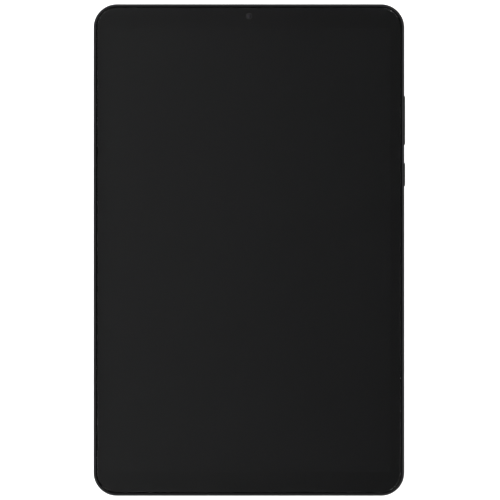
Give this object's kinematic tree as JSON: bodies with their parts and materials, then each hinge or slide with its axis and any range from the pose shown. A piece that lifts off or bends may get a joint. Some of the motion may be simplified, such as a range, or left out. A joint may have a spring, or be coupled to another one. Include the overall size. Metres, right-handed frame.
{
  "type": "tablet computer",
  "caption": "Slim tablet computer with a rounded glass front, side keys, card tray, charging port, headphone jack, cameras, and the boards and battery inside.",
  "frame": {"origin": "middle of the back face, on the surface the tablet lies on", "axes": "+X towards the side with the keys, +Y towards the top edge of the upright picture, +Z out of the screen"},
  "size_m": [0.1268, 0.2, 0.0071],
  "materials": {
    "anodised": "satin",
    "cap_plastic": "satin",
    "frame_plastic": "satin",
    "gasket": "matte",
    "glass": "polished",
    "ink": "satin",
    "panel": "gloss",
    "backlight": "satin",
    "steel": "satin",
    "dark_steel": "satin",
    "tin": "gloss",
    "black_plastic": "matte",
    "board": "satin",
    "chip": "satin",
    "pouch": "satin",
    "polyimide": "satin",
    "foil": "satin",
    "adhesive": "matte",
    "lens": "polished"
  },
  "bodies": {
    "casing": {"back_cover": "anodised", "antenna_cap": "cap_plastic", "front_frame": "frame_plastic", "display_gasket": "gasket", "cover_glass": "glass", "border_mask": "ink", "display_panel": "panel", "backlight_unit": "backlight", "display_flex": "polyimide", "volume_up_switch": "steel", "volume_down_switch": "steel", "power_switch": "steel", "key_flex": "polyimide", "key_bracket": "dark_steel", "card_socket": "tin", "eject_pivot": "steel", "main_board": "board", "processor": "chip", "storage_chip": "chip", "processor_shield": "tin", "radio_shield": "tin", "sub_board": "board", "battery": "pouch", "battery_board": "board", "battery_adhesive_left": "adhesive", "battery_adhesive_right": "adhesive", "usb_shell": "steel", "usb_tongue": "black_plastic", "headphone_jack": "black_plastic", "left_speaker": "black_plastic", "left_speaker_mesh": "dark_steel", "right_speaker": "black_plastic", "right_speaker_mesh": "dark_steel", "top_microphone": "tin", "bottom_microphone": "tin", "vibration_motor": "steel", "front_camera": "black_plastic", "front_camera_lens": "lens", "rear_camera_ring": "anodised", "rear_camera_window": "lens", "rear_camera": "black_plastic", "screw_1": "steel", "screw_2": "steel", "screw_3": "steel", "screw_4": "steel", "screw_5": "steel", "screw_6": "steel", "screw_7": "steel", "screw_8": "steel", "main_flex": "polyimide", "wifi_antenna": "foil", "coax_cable": "black_plastic"},
    "volume_rocker": {"volume_rocker": "anodised"},
    "power_key": {"power_key": "anodised"},
    "card_tray": {"card_tray": "anodised"},
    "eject_rod": {"eject_rod": "tin"},
    "eject_lever": {"eject_lever": "tin"}
  },
  "joints": [
    {"name": "volume_rocker_tilt", "type": "hinge", "parent": "casing", "child": "volume_rocker", "pos_m": [0.0612, 0.0528, 0.0031], "axis": [0, 0, 1], "range_deg": [-2, 2], "stiffness_Nm_per_rad": 0.25},
    {"name": "power_key_press", "type": "slide", "parent": "casing", "child": "power_key", "axis": [-1, 0, 0], "range_m": [0, 0.00025], "stiffness_N_per_m": 4000},
    {"name": "card_tray_pull", "type": "slide", "parent": "casing", "child": "card_tray", "axis": [-1, 0, 0], "range_m": [0, 0.0305]},
    {"name": "eject_rod_push", "type": "slide", "parent": "casing", "child": "eject_rod", "axis": [1, 0, 0], "range_m": [0, 0.0012]},
    {"name": "eject_lever_turn", "type": "hinge", "parent": "casing", "child": "eject_lever", "pos_m": [-0.02845, 0.0675, 0.0031], "axis": [0, 0, 1], "range_deg": [0, 18.2]}
  ],
  "couplings": [
    {"joint": "eject_lever_turn", "follows": "eject_rod_push", "rad_per_m": 263.16}
  ]
}
